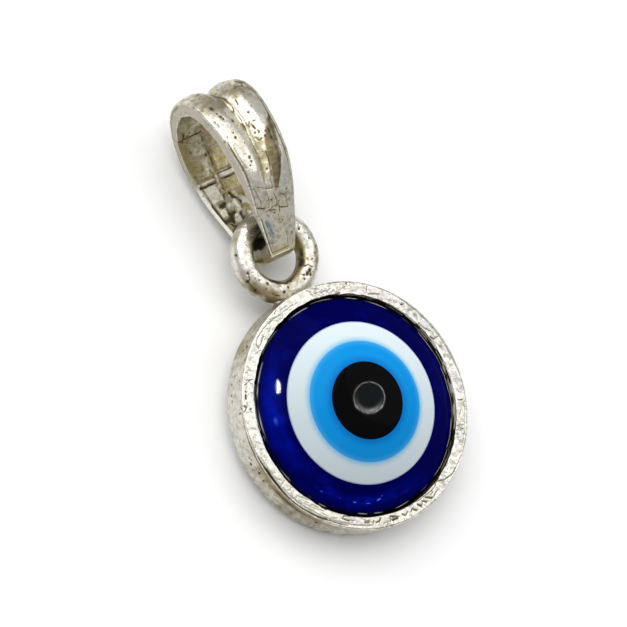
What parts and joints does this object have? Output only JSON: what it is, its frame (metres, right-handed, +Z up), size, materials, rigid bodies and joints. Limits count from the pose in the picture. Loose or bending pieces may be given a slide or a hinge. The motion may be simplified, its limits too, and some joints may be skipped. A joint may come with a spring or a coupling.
{
  "type": "evil eye pendant",
  "caption": "Round silver cup pendant with a domed glass eye in blue, white and black, a soldered ring and a loose grooved bail for a chain.",
  "frame": {"origin": "on the surface that the pendant lies on, below the middle of its outline", "axes": "+Z up, +Y from the cup towards the bail, +X to the right of the eye as it is worn"},
  "size_m": [0.014, 0.0264, 0.0054],
  "materials": {
    "cast_silver": "cast silver, worn bright on its edges and darkened in its pits",
    "bail_silver": "cast silver, polished ridges, oxidised groove and inside",
    "cobalt_glass": "glossy deep cobalt blue glass",
    "white_glass": "glossy opaque white glass",
    "sky_glass": "glossy opaque sky blue glass",
    "black_glass": "glossy black glass"
  },
  "bodies": {
    "root": {"setting": "cast_silver", "bail": "bail_silver", "cobalt_glass": "cobalt_glass", "white_layer": "white_glass", "sky_layer": "sky_glass", "pupil": "black_glass"}
  },
  "joints": []
}
